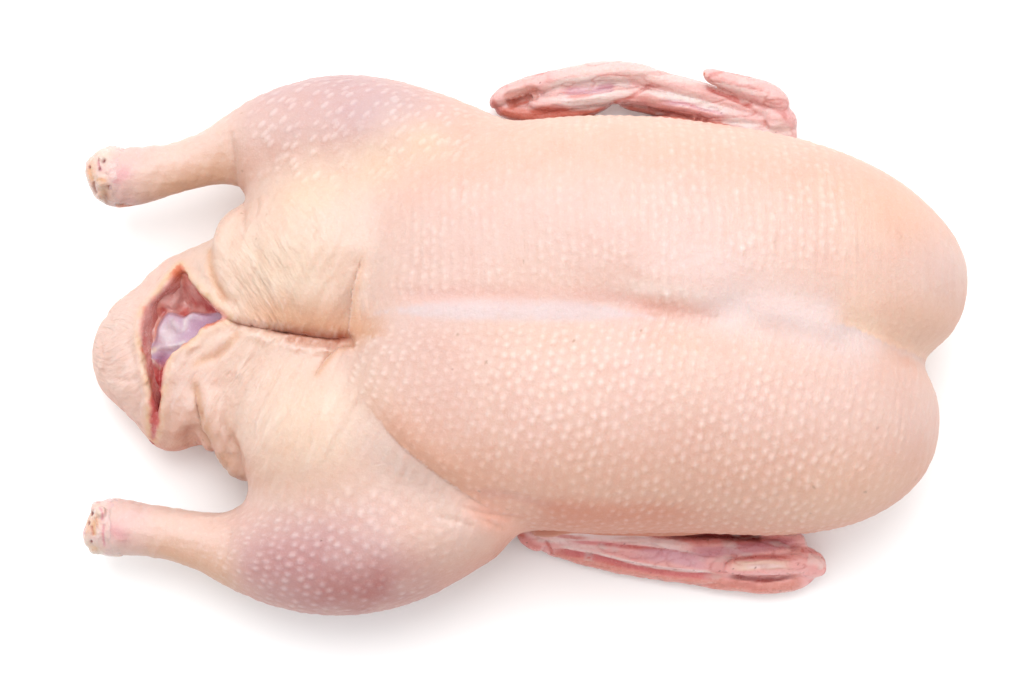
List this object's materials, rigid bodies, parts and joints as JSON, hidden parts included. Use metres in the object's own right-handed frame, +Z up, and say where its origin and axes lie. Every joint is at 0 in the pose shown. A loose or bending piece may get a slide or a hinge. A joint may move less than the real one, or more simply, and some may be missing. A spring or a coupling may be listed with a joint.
{
  "type": "whole raw duck",
  "caption": "Whole dressed raw duck lying on its back, breast up, with folded wings, legs cut at the hocks and an open vent; a food piece for a table, tray or oven scene.",
  "frame": {"origin": "middle of the bounding box's bottom, on the surface that the back lies on", "axes": "+X along the body towards the neck end, +Y towards the bird's right side, +Z up out of the breast"},
  "size_m": [0.3818, 0.2479, 0.109],
  "materials": {
    "skin": "moist pale raw skin, satin",
    "bone": "wet gristle and bone, semi-gloss"
  },
  "bodies": {
    "root": {"duck": "skin", "right_shin_bone": "bone", "left_shin_bone": "bone"}
  },
  "joints": []
}
